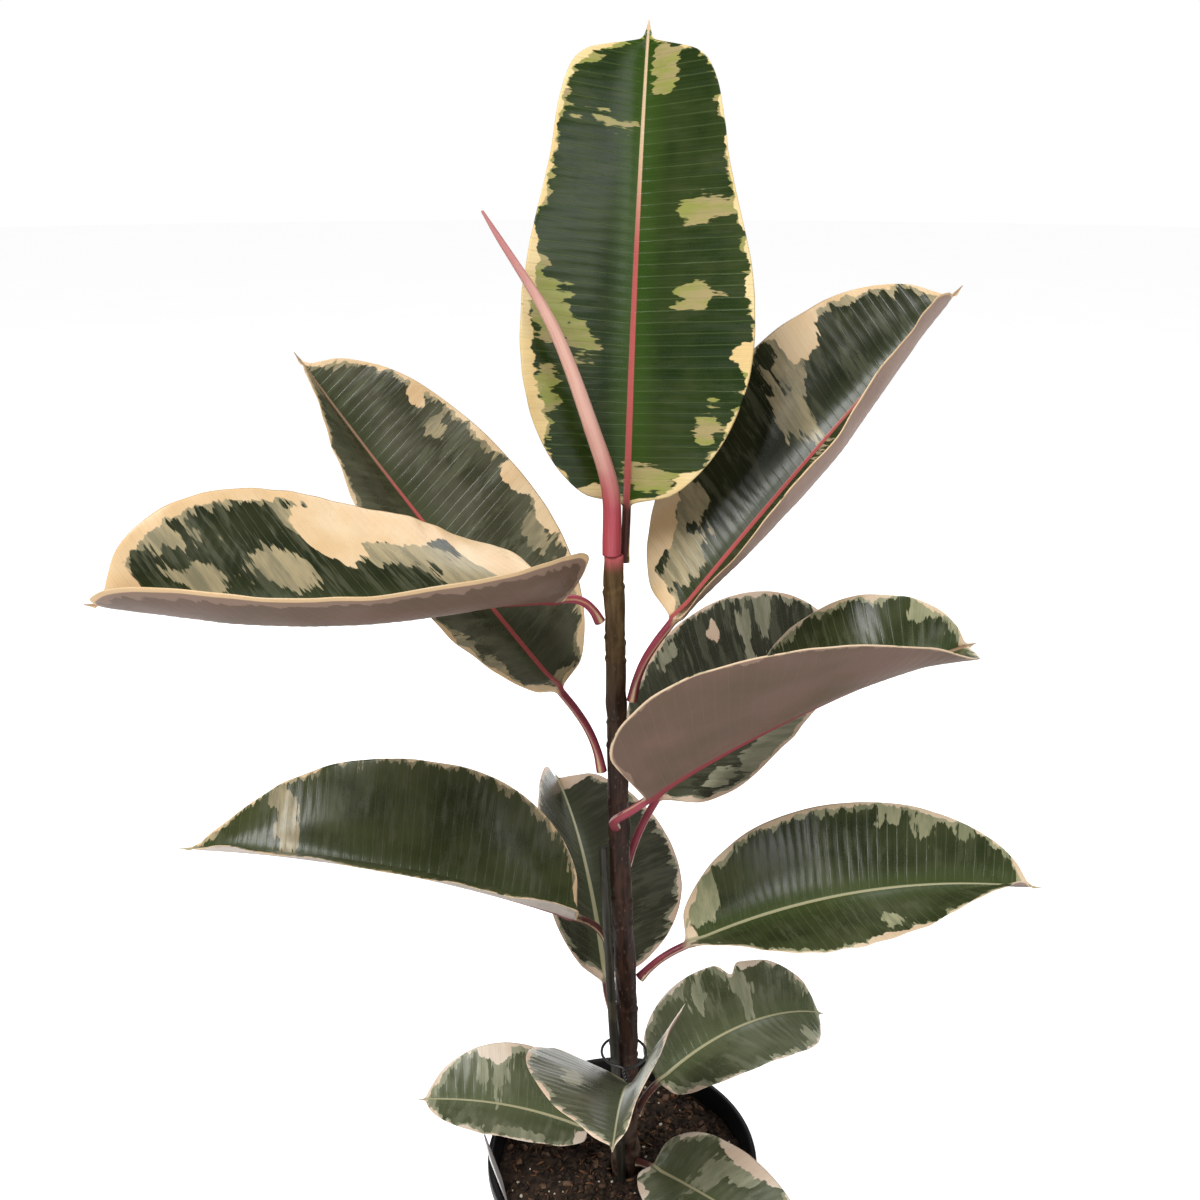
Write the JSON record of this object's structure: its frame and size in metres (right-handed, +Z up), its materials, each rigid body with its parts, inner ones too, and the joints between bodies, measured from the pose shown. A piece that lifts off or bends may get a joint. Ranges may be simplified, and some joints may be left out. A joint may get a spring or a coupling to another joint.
{
  "type": "potted rubber plant",
  "caption": "Young variegated rubber plant with cream-edged glossy leaves on a single upright stem, in a round nursery pot with a support cane.",
  "frame": {"origin": "centre of the pot's flat underside", "axes": "+Z up along the stem, -Y toward the plant's front, +X to the right seen from the front"},
  "size_m": [0.507, 0.3361, 0.8021],
  "materials": {
    "pot_plastic": "matte",
    "potting_mix": "matte",
    "stem_bark": "satin",
    "sheath": "satin",
    "cane_coating": "matte",
    "tie_wire": "satin",
    "tag_plastic": "satin",
    "leaf_blade": "satin"
  },
  "bodies": {
    "root": {"pot": "pot_plastic", "soil": "potting_mix", "stem": "stem_bark", "bud_sheath": "sheath", "support_cane": "cane_coating", "wire_tie": "tie_wire", "plant_label": "tag_plastic", "leaf_top": "leaf_blade", "leaf_left_trough": "leaf_blade", "leaf_upper_right": "leaf_blade", "leaf_upper_left": "leaf_blade", "leaf_right": "leaf_blade", "leaf_right_back": "leaf_blade", "leaf_lower_left": "leaf_blade", "leaf_lower_right": "leaf_blade", "leaf_back": "leaf_blade", "leaf_foot_front": "leaf_blade", "leaf_foot_right": "leaf_blade", "leaf_foot_left": "leaf_blade", "leaf_foot_low": "leaf_blade"}
  },
  "joints": []
}
